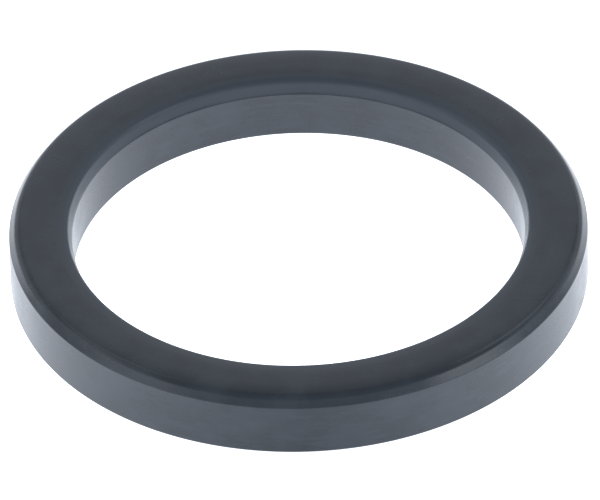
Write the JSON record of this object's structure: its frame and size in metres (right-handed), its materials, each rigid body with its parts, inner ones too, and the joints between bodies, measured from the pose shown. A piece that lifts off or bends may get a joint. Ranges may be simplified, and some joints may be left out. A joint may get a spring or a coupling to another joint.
{
  "type": "group head gasket",
  "caption": "Flat rubber ring with a bevelled upper face, sealing the filter holder of a coffee machine against its group head.",
  "frame": {"origin": "centre of the ring's flat underside, on its axis", "axes": "+Z along the ring's axis, from the flat underside up to the bevelled face; X and Y are alike, because the ring is turned"},
  "size_m": [0.073, 0.073, 0.0085],
  "materials": {
    "black_rubber": "satin"
  },
  "bodies": {
    "root": {"gasket_ring": "black_rubber"}
  },
  "joints": []
}
